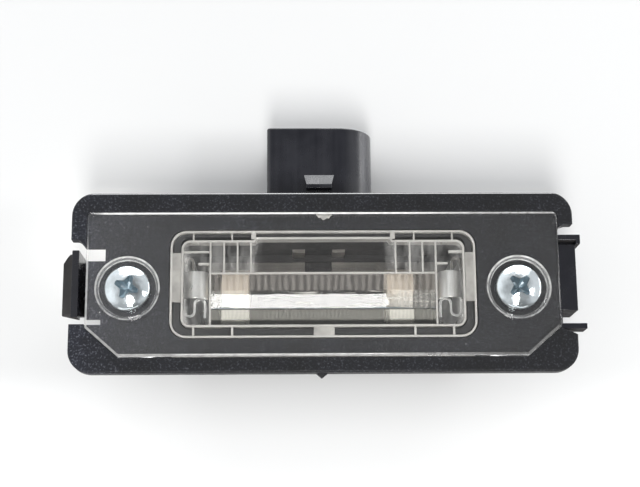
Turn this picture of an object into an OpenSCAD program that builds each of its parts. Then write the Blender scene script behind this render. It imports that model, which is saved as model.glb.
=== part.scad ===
// Number plate lamp of a car: black housing with a flat flange, clear lens,
// two fixing screws and a festoon bulb between two sheet-metal contacts.
// Millimetres. The origin is the middle of the flange's rear face, the seat
// that lies against the body panel. +Z points out of the lens, +X along the
// lamp, +Y towards the connector socket. The lamp lies on its flat back.

/* [Flange] */
// Length of the flange along X
flange_w = 83; // [82:0.5:90]
// Height of the flange along Y
flange_h = 30.1; // [29.5:0.1:34]
// Thickness of the flange
flange_t = 2.5; // [2.2:0.1:3.5]
// Corner radius of the flange
flange_r = 3.8; // [2:0.1:5]

/* [Lens] */
// How far the lens stands proud of the flange
lens_proud = 0.4; // [0.1:0.1:1]
// Thickness of the lens plate
lens_t = 1.8; // [1.6:0.1:2]
// Width of the window ribs
rib_w = 0.45; // [0.3:0.05:0.6]
// Width of the optic ribs
optic_w = 0.35; // [0.25:0.05:0.5]
// Radius of the bulge of each optic flute
flute_r = 9; // [3:0.5:14]

/* [Chamber] */
// Depth of the lamp's back behind the flange seat
back_z = 15.4; // [15:0.1:20]
// Thickness of the chamber's back
back_t = 1.4; // [1:0.1:1.4]

/* [Connector] */
// Depth of the shroud's front wall behind the flange seat
shroud_z = 3; // [2.5:0.1:3.2]
// How far the shroud's rim stands from the lamp's middle
shroud_y = 28.1; // [26:0.1:34]
// Wall of the shroud
shroud_wall = 1.3; // [1:0.1:1.6]
// Width of a connector blade
blade_w = 2.2; // [1.6:0.1:2.6]
// Thickness of a connector blade
blade_t = 0.8; // [0.6:0.1:1]
// Distance between the two blades
blade_pitch = 6.9; // [6:0.1:7.5]

/* [Screws] */
// Distance between the two screws
screw_pitch = 64.1; // [63:0.1:65]
// Thread diameter of a screw
screw_d = 3.9; // [3.5:0.1:4.2]
// Head diameter of a screw
head_d = 7.5; // [7:0.1:8]
// Length of a screw under its head
screw_l = 14; // [12:0.5:16]

/* [Bulb] */
// Length of the festoon bulb over its tips
bulb_l = 36; // [35.6:0.1:36.2]
// Diameter of the bulb's glass
glass_d = 10.2; // [9.5:0.1:10.6]
// Diameter of the bulb's caps
cap_d = 8.5; // [8.3:0.1:8.7]

/* [Hidden] */
$fn = 48;

// Lens plate levels and outline
lens_top = flange_t + lens_proud;
lens_low = lens_top - lens_t;
lens_x = 38.85;
lens_y1 = 11.6;
lens_y0 = -12.4;
lens_cx = 33.35;      // where each lower corner's slant starts along X
lens_cy = -7.6;       // and where it ends along Y
lens_gap = 0.12;

// Window ribs, as the middle lines of their walls
out_x = 25.0; out_y0 = -9.05; out_y1 = 8.5; out_r = 2.5;
in_x = 23.2;  in_y0 = -7.3;   in_y1 = 6.87; in_r = 1.3;
in_step_y = 7.4; in_step_x = 11.2;
rib_z = -1.2;         // lower end of the window ribs
tie_z = lens_low - 0.6;

// Chamber and the groove for the outer rib
ch_x = 23.7; ch_y0 = -7.75; ch_y1 = 7.7; ch_r = 1.6;
rim_x = 24.7; rim_y0 = -8.75; rim_y1 = 8.2;
gr_x = 25.35; gr_y0 = -9.4; gr_y1 = 8.85;
rim_z = -0.5; gr_z = -1.5;
seal_z1 = tie_z; seal_z0 = rim_z;

// Screws
scr_y = -1.15;
scr_x = screw_pitch / 2;
seat_z = lens_top - 1.0;   // where a head bears on the lens
head_h = 2.35;

// Connector
con_x0 = -9.4;
con_r = (back_z - shroud_z) / 2;
con_cx = 2.58;
con_cz = -(back_z + shroud_z) / 2;
con_end = 11.5;            // closed end of the socket
blade_mid = -0.55;
blade_z = con_cz;
ledge_y = 6.5;             // front of the ledge on the chamber's floor
riser_y = 7.2;             // front of each blade's riser

// Bulb
bulb_x = -0.85; bulb_y = -0.3; bulb_z = -8.3;
cap_out = 16.5;            // from the bulb's middle to the end of a cap's cylinder
cap_in = 11.65;            // and to its open end
tip_r = 1.3;
sheet = 0.45;              // thickness of the contact strip

// ------------------------------------------------------------ outlines

module rrect(x0, y0, x1, y1, r) {
    translate([x0 + r, y0]) square([x1 - x0 - 2 * r, y1 - y0]);
    translate([x0, y0 + r]) square([x1 - x0, y1 - y0 - 2 * r]);
    for (x = [x0 + r, x1 - r], y = [y0 + r, y1 - r])
        translate([x, y]) circle(r = r);
}

// The lens's outline: upper corners nearly square, lower corners slanted
module lens_outline(g = 0) {
    k = g * 0.42;
    difference() {
        rrect(-lens_x - g, lens_y0 - g, lens_x + g, lens_y1 + g, 0.8);
        for (s = [-1, 1])
            polygon([[s * (lens_cx + k), lens_y0 - g],
                     [s * (lens_x + g), lens_cy - k],
                     [s * (lens_x + 3), lens_cy - k],
                     [s * (lens_x + 3), lens_y0 - 3],
                     [s * (lens_cx + k), lens_y0 - 3]]);
    }
}

// A closed rib of width w along a rounded rectangle
module rib_ring(x, y0, y1, r, w) {
    difference() {
        rrect(-x - w / 2, y0 - w / 2, x + w / 2, y1 + w / 2, r + w / 2);
        rrect(-x + w / 2, y0 + w / 2, x - w / 2, y1 - w / 2, r - w / 2);
    }
}

// The shroud's section in X and Z: square on the left, round on the right
module shroud_section(w) {
    translate([con_cx, con_cz]) circle(r = con_r - w, $fn = 64);
    rrect_l = con_x0 + w;
    translate([rrect_l + 0.7, con_cz - con_r + w])
        square([con_cx - rrect_l - 0.7, 2 * (con_r - w)]);
    translate([rrect_l, con_cz - con_r + w + 0.7])
        square([3, 2 * (con_r - w) - 1.4]);
    for (z = [con_cz - con_r + w + 0.7, con_cz + con_r - w - 0.7])
        translate([rrect_l + 0.7, z]) circle(r = 0.7);
}

// Turns a section drawn in X and Z into a solid from y0 to y1
module along_y(y0, y1) {
    translate([0, y1, 0]) rotate([90, 0, 0]) linear_extrude(y1 - y0) children();
}

// ------------------------------------------------------------ housing

// The gaps around the snap arm on the left and the locating tabs on the right
module end_gaps() {
    polygon([[-45, -7], [-38.8, -7], [-38.8, 5.7], [-39.2, 5.9], [-39.5, 6.3],
             [-39.95, 6.85], [-40.4, 7.1], [-45, 7.1]]);
    translate([-39, 3.6]) square([3.15, 2.15]);
    translate([-39, -7]) square([2.6, 0.95]);
    polygon([[38.95, -7.95], [40.2, -8.4], [41.6, -9.1], [47, -9.1], [47, 9.6],
             [40.3, 9.55], [39.6, 9.3], [38.95, 8.75]]);
}

// Snap arm: a folded strip that hangs behind the flange, with a wedge outside
module snap_arm() {
    intersection() {
        union() {
            along_y(-5.85, 5.35) {
                translate([-41.25, -7]) square([1.15, 9.2]);
                difference() {
                    translate([-39.45, -7]) circle(r = 1.8);
                    translate([-39.45, -7]) circle(r = 0.65);
                    translate([-42, -7]) square([5, 3]);
                }
            }
            along_y(-5.0, 3.4)
                translate([-38.8, -7]) square([1.15, 7.5]);
        }
        // the end away from the connector is slanted
        translate([-45, 0, 0]) rotate([90, 0, 90]) linear_extrude(10)
            polygon([[-5.85, 2.5], [-3.9, -9], [6, -9], [6, 2.5]]);
    }
    intersection() {
        along_y(-4.75, 5.4)
            polygon([[-41.0, -0.6], [-41.3, -0.6], [-42.6, -1.4], [-43.4, -2.5],
                     [-43.4, -3.2], [-41.3, -6.6], [-41.0, -6.6]]);
        translate([0, 0, -8]) linear_extrude(9)
            polygon([[-41, -4.75], [-43.4, -4.75], [-43.4, 4.1], [-42.1, 5.35],
                     [-41, 5.35]]);
    }
}

// Locating tabs: a plate between two thin fins
module locating_tabs() {
    translate([38.4, -4.85, -5.5]) cube([3.5, 11.15, 6.9]);
    translate([38.4, 6.2, -1.5]) cube([3.5, 0.8, 2]);
    translate([38.4, 6.85, -1.5]) cube([4.25, 0.95, 3.6]);
    translate([41.95, 6.2, -1.5]) cube([0.7, 0.9, 3.6]);
    translate([38.4, -8, -1.5]) cube([4.75, 0.9, 3.6]);
    translate([38.4, -7.5, -5.5]) cube([1.1, 14.7, 5.9]);
}

// Latch ramp on the shroud's front wall
module latch_ramp() {
    intersection() {
        translate([-6, 0, 0]) rotate([90, 0, 90]) linear_extrude(12)
            polygon([[16.95, -shroud_z - 0.4], [19.6, -shroud_z - 0.4],
                     [19.6, -shroud_z], [17.65, -shroud_z + 1.3],
                     [16.95, -shroud_z + 1.3]]);
        translate([0, 0, -shroud_z - 1]) linear_extrude(3)
            polygon([[-3.1, 19.6], [2.1, 19.6], [1.65, 17.6], [1.65, 16.9],
                     [-2.7, 16.9], [-2.7, 17.6]]);
    }
}

module housing() {
    color([0.13, 0.13, 0.14])
    difference() {
        union() {
            linear_extrude(flange_t) difference() {
                rrect(-flange_w / 2, -flange_h / 2, flange_w / 2, flange_h / 2, flange_r);
                end_gaps();
            }
            // collar behind the flange, around the groove
            translate([0, 0, -3]) linear_extrude(3.5)
                rrect(-26.8, -10.8, 26.8, 10.3, 3.4);
            // chamber
            translate([0, 0, -back_z]) linear_extrude(back_z)
                rrect(-25.3, -9.35, 25.3, 9.2, 2.4);
            // connector shroud
            along_y(8.5, shroud_y) shroud_section(0);
            latch_ramp();
            snap_arm();
            locating_tabs();
            // what is left of the moulding's gate on the lower edge
            translate([0, 0, 0.2]) linear_extrude(1.2)
                polygon([[-1.3, -flange_h / 2 + 0.3], [-1.3, -flange_h / 2],
                         [-0.4, -flange_h / 2 - 0.8], [0.6, -flange_h / 2],
                         [0.6, -flange_h / 2 + 0.3]]);
        }
        // recess for the lens
        translate([0, 0, lens_low]) linear_extrude(5) lens_outline(lens_gap);
        // groove for the outer rib, and the space of the seal
        translate([0, 0, gr_z]) linear_extrude(5) difference() {
            rrect(-gr_x, gr_y0, gr_x, gr_y1, 2.75);
            rrect(-rim_x, rim_y0, rim_x, rim_y1, 2.1);
        }
        translate([0, 0, rim_z]) linear_extrude(5)
            rrect(-gr_x, gr_y0, gr_x, gr_y1, 2.75);
        // inside of the chamber, but for a ledge over the feet of the blades
        difference() {
            translate([0, 0, -back_z + back_t]) linear_extrude(back_z)
                rrect(-ch_x, ch_y0, ch_x, ch_y1, ch_r);
            translate([-11.5, ledge_y, -back_z]) cube([22.5, 3, back_t + 1]);
        }
        for (s = [-1, 1])
            translate([blade_mid + s * blade_pitch / 2 - blade_w / 2 - 0.05, 0,
                       -back_z + back_t]) {
                translate([0, ledge_y - 0.5, 0])
                    cube([blade_w + 0.1, ch_y1 - ledge_y + 0.5, sheet + 0.05]);
                translate([0, riser_y - 0.05, 0])
                    cube([blade_w + 0.1, ch_y1 - riser_y + 0.05, 3]);
            }
        // socket of the connector
        along_y(con_end, shroud_y + 5) shroud_section(shroud_wall);
        // slots where the blades pass into the socket
        for (s = [-1, 1])
            translate([blade_mid + s * blade_pitch / 2 - blade_w / 2 - 0.05,
                       ch_y1 - 1, blade_z - blade_t / 2 - 0.05])
                cube([blade_w + 0.1, con_end - ch_y1 + 2, blade_t + 0.1]);
        // screw holes
        for (s = [-1, 1])
            translate([s * scr_x, scr_y, -5]) cylinder(d = screw_d + 1.1, h = 10);
    }
}

// ------------------------------------------------------------ lens

// One flute: a bulge along X on the lens's underside
module flute(y0, y1) {
    w = y1 - y0;
    s = flute_r - sqrt(flute_r * flute_r - w * w / 4);
    intersection() {
        translate([-18.6, (y0 + y1) / 2, lens_low + flute_r - s])
            rotate([0, 90, 0]) cylinder(r = flute_r, h = 37.2, $fn = 96);
        translate([-18.6, y0, lens_low - s - 0.2])
            cube([37.2, w, s + 0.5]);
    }
}

// The middle flute leans: its underside drops away from the connector. It
// reaches a little into both of its neighbours
module leaning_flute(y0, y1, r, tilt) {
    translate([-18.61, 0, 0]) rotate([90, 0, 90]) linear_extrude(37.22)
        polygon(concat([[y1 + 0.06, lens_low + 0.25]],
            [for (k = [0:5]) let (d = -0.06 + (y1 - y0 + 0.07) * k / 5, u = r * sin(tilt) - d)
                [y1 - d, lens_low - 0.01 + r * cos(tilt) - sqrt(r * r - u * u)]],
            [[y0 - 0.01, lens_low + 0.25]]));
}

module lens() {
    color([0.86, 0.88, 0.88, 0.35])
    difference() {
        union() {
            translate([0, 0, lens_low]) linear_extrude(lens_t) lens_outline();
            // outer rib
            translate([0, 0, rib_z]) linear_extrude(lens_low - rib_z + 0.3)
                rib_ring(out_x, out_y0, out_y1, out_r, rib_w);
            // inner rib, which steps out in the middle of its upper side
            translate([0, 0, rib_z]) linear_extrude(lens_low - rib_z + 0.3)
                difference() {
                    union() {
                        rrect(-in_x - rib_w / 2, in_y0 - rib_w / 2, in_x + rib_w / 2,
                              in_y1 + rib_w / 2, in_r + rib_w / 2);
                        polygon([[-in_step_x - 0.5, 6], [in_step_x + 0.5, 6],
                                 [in_step_x + 0.5, in_y1 + rib_w / 2],
                                 [in_step_x, in_step_y + rib_w / 2],
                                 [-in_step_x, in_step_y + rib_w / 2],
                                 [-in_step_x - 0.5, in_y1 + rib_w / 2]]);
                    }
                    rrect(-in_x + rib_w / 2, in_y0 + rib_w / 2, in_x - rib_w / 2,
                          in_y1 - rib_w / 2, in_r - rib_w / 2);
                    polygon([[-in_step_x, 5], [in_step_x, 5],
                             [in_step_x, in_y1 - rib_w / 2],
                             [in_step_x - 0.5, in_step_y - rib_w / 2],
                             [-in_step_x + 0.5, in_step_y - rib_w / 2],
                             [-in_step_x, in_y1 - rib_w / 2]]);
                }
            // ties between the two ribs, short of the seal
            translate([0, 0, tie_z]) linear_extrude(lens_low - tie_z + 0.3) {
                for (s = [-1, 1]) {
                    translate([s * 11.5 - 0.42, in_y1]) square([0.84, out_y1 - in_y1]);
                    translate([s * 21.4 - 0.15, in_y1]) square([0.3, out_y1 - in_y1]);
                    translate([s * 15.05 - 0.15, in_y1]) square([0.3, out_y1 - in_y1]);
                    translate([s * 21.3 - 0.22, out_y0]) square([0.44, in_y0 - out_y0]);
                    translate([s * 14.95 - 0.22, out_y0]) square([0.44, in_y0 - out_y0]);
                    translate([s > 0 ? 23.4 : -24.95, -3.3]) square([1.55, 8.25]);
                }
                translate([-1.7, out_y0]) square([3.5, in_y0 - out_y0]);
            }
            // upright optic ribs
            translate([0, 0, lens_low - 0.9]) linear_extrude(1.2) {
                for (s = [-1, 1])
                    translate([s * 18.6 - optic_w / 2, in_y0]) square([optic_w, in_y1 - in_y0]);
                for (x = [-16.36, -14.14, -11.93, 11.96, 14.32, 16.42])
                    translate([x - optic_w / 2, 1.32]) square([optic_w, in_y1 - 1.32]);
            }
            // the shelf above the flutes
            translate([0, 0, lens_low - 0.9]) linear_extrude(1.2)
                translate([-18.6, 1.32]) square([37.2, optic_w]);
            flute(-1.44, 1.32);
            leaning_flute(-4.45, -1.44, 15.7, 16.6);
            flute(-7.1, -4.45);
            // short ribs beside the contacts
            translate([0, 0, lens_low - 0.7]) linear_extrude(1.0) {
                for (s = [-1, 1])
                    translate([s > 0 ? 18.6 : -20.6, 2.93]) square([2.0, 0.35]);
                translate([-23.2, 4.95]) square([4.6, 0.3]);
                translate([20.7, 4.85]) square([2.5, 0.45]);
            }
        }
        // counterbores and holes for the screws
        for (s = [-1, 1]) translate([s * scr_x, scr_y, 0]) {
            translate([0, 0, seat_z]) cylinder(d = 9.3, h = 3);
            translate([0, 0, lens_top - 0.6]) cylinder(d1 = 9.2, d2 = 10.8, h = 0.8);
            translate([0, 0, -1]) cylinder(d = screw_d + 0.5, h = 5);
        }
    }
}

module lens_seal() {
    color([0.09, 0.09, 0.09])
    translate([0, 0, seal_z0]) linear_extrude(seal_z1 - seal_z0) difference() {
        rrect(-out_x + rib_w / 2 + 0.08, out_y0 + rib_w / 2 + 0.08,
              out_x - rib_w / 2 - 0.08, out_y1 - rib_w / 2 - 0.08, 2.1);
        rrect(-in_x - rib_w / 2 - 0.1, in_y0 - rib_w / 2 - 0.1,
              in_x + rib_w / 2 + 0.1, in_step_y + rib_w / 2 + 0.08, 1.5);
    }
}

// ------------------------------------------------------------ screws

// Pan head screw with a cross recess turned by the angle a
module screw(a) {
    rh = head_d / 2;
    difference() {
        union() {
            // head: a flat cylinder under a dome
            translate([0, 0, seat_z]) cylinder(r = rh, h = 1.0, $fn = 64);
            intersection() {
                translate([0, 0, seat_z + head_h - 6.2]) sphere(r = 6.2, $fn = 96);
                translate([0, 0, seat_z + 0.9]) cylinder(r = rh - 0.02, h = 3, $fn = 64);
            }
            // neck, thread and point
            cylinder(d = screw_d - 0.5, h = seat_z + 0.2);
            translate([0, 0, seat_z - screw_l + 2.5])
                cylinder(d = screw_d, h = screw_l - 2.5 - seat_z);
            translate([0, 0, seat_z - screw_l])
                cylinder(d1 = 0.8, d2 = screw_d, h = 2.5);
        }
        translate([0, 0, seat_z + head_h - 1.7]) rotate([0, 0, a]) intersection() {
            union() {
                translate([-3, -0.43, 0]) cube([6, 0.86, 4]);
                translate([-0.43, -3, 0]) cube([0.86, 6, 4]);
            }
            cylinder(r1 = 0.75, r2 = 2.3, h = 2.6);
        }
    }
}

module screw_left() { color([0.78, 0.8, 0.82]) translate([-scr_x, scr_y, 0]) screw(67); }
module screw_right() { color([0.78, 0.8, 0.82]) translate([scr_x, scr_y, 0]) screw(45); }

// ------------------------------------------------------------ contacts

floor_z = -back_z + back_t;
leaf_hole = 1.75;

// One stamped strip for the left side, drawn with X counted outwards:
// lx is where the leaf bears on the cap, bx the blade's inner side
module contact(lx, bx, top_x) {
    back_x = 22.95;
    arch_r = (back_x + sheet - top_x) / 2;
    arch_x = top_x + arch_r;
    arch_z = -1.2 - arch_r;
    low = floor_z + 0.9;
    difference() {
        union() {
            // back wall, arch and the leaf that bears on the bulb
            along_y(bulb_y - 1.85, bulb_y + 2.7) {
                translate([back_x, floor_z]) square([sheet, arch_z - floor_z]);
                difference() {
                    translate([arch_x, arch_z]) circle(r = arch_r, $fn = 64);
                    translate([arch_x, arch_z]) circle(r = arch_r - sheet, $fn = 64);
                    translate([10, arch_z - 6]) square([20, 6]);
                }
                polygon([[top_x, arch_z], [top_x + sheet, arch_z],
                         [lx + sheet, bulb_z + 2], [lx + sheet, bulb_z - 2.6],
                         [lx + sheet + 0.7, low], [lx + 0.7, low],
                         [lx, bulb_z - 2.6], [lx, bulb_z + 2]]);
            }
            // wings that hold the strip in the moulding
            translate([0, 0, floor_z]) linear_extrude(-3.4 - floor_z) {
                translate([back_x, 2.2]) square([sheet, 2.07]);
                translate([22.45, 4.25]) difference() {
                    circle(r = 0.95);
                    circle(r = 0.95 - sheet);
                    translate([-3, -3]) square([6, 3]);
                }
                translate([21.5, 2.5]) square([sheet, 1.77]);
                translate([back_x, -4.0]) square([sheet, 2.0]);
                translate([22.3, -4.0]) difference() {
                    circle(r = 1.1);
                    circle(r = 1.1 - sheet);
                    translate([-3, 0]) square([6, 3]);
                }
                translate([21.2, -4.02]) square([sheet, 1.2]);
                translate([20.55, -2.84]) difference() {
                    circle(r = 1.1);
                    circle(r = 1.1 - sheet);
                    translate([-3, -3]) square([6, 3]);
                }
                translate([19.45, -5.2]) square([sheet, 2.38]);
            }
            // busbar on the chamber's floor
            translate([bx, 4.8, floor_z]) cube([23.3 - bx, 1.7, sheet]);
            // foot under the ledge, riser, and the blade in the socket
            translate([bx, 6.3, floor_z]) cube([blade_w, 1.35, sheet]);
            translate([bx, riser_y, floor_z])
                cube([blade_w, sheet, blade_z + blade_t / 2 - floor_z]);
            translate([bx, riser_y, blade_z - blade_t / 2])
                cube([blade_w, 21.25 - riser_y, blade_t]);
            translate([bx + blade_w / 2, 0, blade_z - blade_t / 2])
                linear_extrude(blade_t)
                    polygon([[-blade_w / 2, 21.2], [blade_w / 2, 21.2],
                             [blade_w / 4, 22.3], [-blade_w / 4, 22.3]]);
        }
        // the hole that takes the cap's tip
        translate([lx - 2, bulb_y, bulb_z]) rotate([0, 90, 0])
            cylinder(r = leaf_hole, h = 4);
    }
}

module contact_left() {
    color([0.74, 0.74, 0.72]) mirror([1, 0, 0])
        contact(-(bulb_x - bulb_l / 2) - 0.22,
                -(blade_mid - blade_pitch / 2) - blade_w / 2, 19.1);
}
module contact_right() {
    color([0.74, 0.74, 0.72])
        contact(bulb_x + bulb_l / 2 - 0.22,
                blade_mid + blade_pitch / 2 - blade_w / 2, 19.3);
}

// ------------------------------------------------------------ bulb

// The bulb's parts are turned about an axis along X. Each half is drawn for
// the right side, with X counted from the bulb's middle, and s picks the side.
module on_bulb(s) {
    translate([bulb_x, bulb_y, bulb_z])
        rotate([0, s * 90, 0]) children();
}

module bulb_glass() {
    rg = glass_d / 2; rn = 3.6; t = 0.5;
    color([0.9, 0.92, 0.95, 0.3]) on_bulb(1) rotate_extrude($fn = 72) difference() {
        polygon([[0.35, -15.5], [rn, -15.5], [rn, -11.4], [rg - 0.7, -10.6],
                 [rg, -9.6], [rg, 9.6], [rg - 0.7, 10.6], [rn, 11.4], [rn, 15.5],
                 [0.35, 15.5]]);
        polygon([[0, -12.6], [rn - 1, -12.2], [rn - t, -11.1], [rg - 0.7 - t, -10.3],
                 [rg - t, -9.4], [rg - t, 9.4], [rg - 0.7 - t, 10.3], [rn - t, 11.1],
                 [rn - 1, 12.2], [0, 12.6]]);
    }
}

module cap() {
    r = cap_d / 2; t = 0.3;
    rotate_extrude($fn = 72) polygon([
        [r - t, cap_in], [r, cap_in], [r, cap_out], [tip_r + 0.5, bulb_l / 2 - 0.25],
        [tip_r, bulb_l / 2], [tip_r - 0.4, bulb_l / 2], [tip_r - 0.4, bulb_l / 2 - 0.35],
        [r - t, cap_out - 0.1]]);
}

module bulb_cap_left() { color([0.8, 0.72, 0.6]) on_bulb(-1) cap(); }
module bulb_cap_right() { color([0.8, 0.72, 0.6]) on_bulb(1) cap(); }

module filament() {
    color([0.45, 0.45, 0.47]) on_bulb(1) translate([0, 0, -7]) cylinder(r = 0.35, h = 14);
}

module lead() { translate([0, 0, 7]) cylinder(r = 0.25, h = bulb_l / 2 - 0.4 - 7); }
module lead_wire_left() { color([0.7, 0.66, 0.6]) on_bulb(-1) lead(); }
module lead_wire_right() { color([0.7, 0.66, 0.6]) on_bulb(1) lead(); }

// The drop of solder in a cap's tip, open where the lead wire ends in it
module solder() {
    rotate_extrude($fn = 48) polygon([
        [0, bulb_l / 2 - 0.35], [0.3, bulb_l / 2 - 0.35], [0.3, bulb_l / 2 - 0.6],
        [0.85, bulb_l / 2 - 0.6], [0.85, bulb_l / 2 - 0.02], [0.6, bulb_l / 2 + 0.08],
        [0, bulb_l / 2 + 0.12]]);
}
module solder_tip_left() { color([0.75, 0.75, 0.74]) on_bulb(-1) solder(); }
module solder_tip_right() { color([0.75, 0.75, 0.74]) on_bulb(1) solder(); }

module cement() {
    difference() {
        translate([0, 0, cap_in + 0.4]) cylinder(r = cap_d / 2 - 0.32, h = 3.4);
        translate([0, 0, cap_in]) cylinder(r = 3.62, h = 5);
    }
}
module cap_cement_left() { color([0.85, 0.82, 0.74]) on_bulb(-1) cement(); }
module cap_cement_right() { color([0.85, 0.82, 0.74]) on_bulb(1) cement(); }

housing();
lens();
lens_seal();
screw_left();
screw_right();
contact_left();
contact_right();
bulb_glass();
bulb_cap_left();
bulb_cap_right();
filament();
lead_wire_left();
lead_wire_right();
solder_tip_left();
solder_tip_right();
cap_cement_left();
cap_cement_right();
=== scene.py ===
import math
import bpy
import bmesh
from mathutils import Matrix, Vector


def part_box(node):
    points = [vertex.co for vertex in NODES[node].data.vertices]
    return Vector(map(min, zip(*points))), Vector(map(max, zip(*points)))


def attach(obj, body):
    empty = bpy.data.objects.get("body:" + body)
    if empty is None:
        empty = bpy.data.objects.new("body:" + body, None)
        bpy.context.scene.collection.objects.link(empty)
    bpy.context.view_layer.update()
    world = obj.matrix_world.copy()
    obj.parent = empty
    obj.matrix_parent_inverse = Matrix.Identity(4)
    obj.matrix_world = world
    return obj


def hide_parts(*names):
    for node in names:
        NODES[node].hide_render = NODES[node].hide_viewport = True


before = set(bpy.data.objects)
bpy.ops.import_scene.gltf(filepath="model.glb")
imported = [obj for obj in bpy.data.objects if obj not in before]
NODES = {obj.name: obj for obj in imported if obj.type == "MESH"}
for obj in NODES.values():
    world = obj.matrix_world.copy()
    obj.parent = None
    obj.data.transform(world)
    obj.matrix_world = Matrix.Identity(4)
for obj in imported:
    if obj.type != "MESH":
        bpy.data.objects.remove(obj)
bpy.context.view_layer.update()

MM = 0.001
scene = bpy.context.scene

# ---------------------------------------------------------------- camera

cam_data = bpy.data.cameras.new("camera")
cam_data.sensor_width = 36.0
cam_data.sensor_fit = "HORIZONTAL"
cam_data.lens = 1351.0 / 640.0 * 36.0
cam_data.clip_start, cam_data.clip_end = 0.005, 20.0
cam = bpy.data.objects.new("camera", cam_data)
scene.collection.objects.link(cam)
turn = (Matrix.Rotation(math.radians(13.26), 3, "X")
        @ Matrix.Rotation(math.radians(-1.25), 3, "Y")
        @ Matrix.Rotation(math.radians(-0.17), 3, "Z"))
cam.matrix_world = Matrix.Translation(Vector((-5.4, -44.8, 219.3)) * MM) @ turn.to_4x4()
scene.camera = cam

# ---------------------------------------------------------------- light

scene.view_settings.view_transform = "Standard"
scene.view_settings.look = "None"
scene.view_settings.exposure = 0.0
scene.view_settings.gamma = 1.0

world = bpy.data.worlds.new("studio")
world.use_nodes = True
scene.world = world
wn = world.node_tree
wn.nodes.clear()
w_out = wn.nodes.new("ShaderNodeOutputWorld")
w_bg = wn.nodes.new("ShaderNodeBackground")
w_bg.inputs["Color"].default_value = (0.97, 0.985, 1.0, 1.0)
wn.links.new(w_bg.outputs[0], w_out.inputs["Surface"])


def w_map(value, a, b, lo, hi):
    n = wn.nodes.new("ShaderNodeMapRange")
    n.interpolation_type = "SMOOTHSTEP"
    wn.links.new(value, n.inputs["Value"])
    for k, v in zip(("From Min", "From Max", "To Min", "To Max"), (a, b, lo, hi)):
        n.inputs[k].default_value = v
    return n.outputs[0]


# the studio's walls are bright, its ceiling is dimmer, and brighter on the left. The side away from the connector is dim
w_dir = wn.nodes.new("ShaderNodeSeparateXYZ")
wn.links.new(wn.nodes.new("ShaderNodeTexCoord").outputs["Generated"], w_dir.inputs[0])
w_sum = wn.nodes.new("ShaderNodeMath")
wn.links.new(w_map(w_dir.outputs["Z"], 0.55, 0.93, 0.80, 0.26), w_sum.inputs[0])
wn.links.new(w_map(w_dir.outputs["X"], -0.16, 0.0, 0.28, 0.0), w_sum.inputs[1])
w_all = wn.nodes.new("ShaderNodeMath")
wn.links.new(w_sum.outputs[0], w_all.inputs[0])
wn.links.new(w_map(w_dir.outputs["Y"], -0.80, -0.40, -0.60, 0.0), w_all.inputs[1])
wn.links.new(w_all.outputs[0], w_bg.inputs["Strength"])


def softbox(name, place, aim, wide, high, radiance, colour=(1, 1, 1)):
    """A rectangular area light at place, in metres, turned towards aim. radiance is what a mirror would show."""
    data = bpy.data.lights.new(name, "AREA")
    data.shape = "RECTANGLE"
    data.size, data.size_y = wide, high
    data.energy = radiance * wide * high * math.pi
    data.color = colour
    o = bpy.data.objects.new(name, data)
    scene.collection.objects.link(o)
    z = (Vector(place) - Vector(aim)).normalized()
    x = Vector((1, 0, 0)) if abs(z.x) < 0.7 else Vector((0, 1, 0))
    y = z.cross(x).normalized()
    x = y.cross(z).normalized()
    o.matrix_world = Matrix.Translation(place) @ Matrix((x, y, z)).transposed().to_4x4()
    return o


softbox("light_key", (-0.0105, -0.32, 0.508), (0, 0, 0), 0.129, 0.27, 20.0, (1.0, 0.995, 0.98))
softbox("light_right", (0.46, -0.05, 0.39), (0, 0, 0), 0.10, 0.10, 14.0)
softbox("light_window", (0.05, 0.80, 0.34), (0, 0, 0), 1.0, 0.42, 2.4, (0.97, 0.99, 1.0))
softbox("light_horizon", (0.05, 0.80, 0.10), (0, 0, 0), 1.0, 0.13, 5.6, (0.98, 0.99, 1.0))
softbox("light_side", (0.75, 0.10, 0.035), (0, 0, 0), 0.5, 0.09, 5.5, (0.99, 0.995, 1.0))
softbox("light_front", (0.0, -0.75, 0.24), (0, 0, 0), 0.9, 0.16, 1.6)
softbox("light_gap", (-0.0360, 0.0118, -0.0060), (-0.0405, 0.0085, -0.0170), 0.008, 0.004, 9.0, (1.0, 0.985, 0.945))

# ---------------------------------------------------------------- floor


def material(name):
    m = bpy.data.materials.new(name)
    m.use_nodes = True
    m.node_tree.nodes.clear()
    return m


def add(m, kind, at=None, **values):
    """A node in material m. Values whose name is a socket go to that socket, the rest are the node's own settings."""
    n = m.node_tree.nodes.new(kind)
    for key, v in values.items():
        hit = None
        for s in n.inputs:
            if s.name.replace(" ", "_").lower() == key.lower() and s.enabled:
                hit = s
                break
        if hit is None:
            setattr(n, key, v)
        elif hasattr(v, "bl_idname") and hasattr(v, "is_output"):
            m.node_tree.links.new(v, hit)
        else:
            hit.default_value = v
    return n


def link(m, a, b):
    m.node_tree.links.new(a, b)


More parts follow.
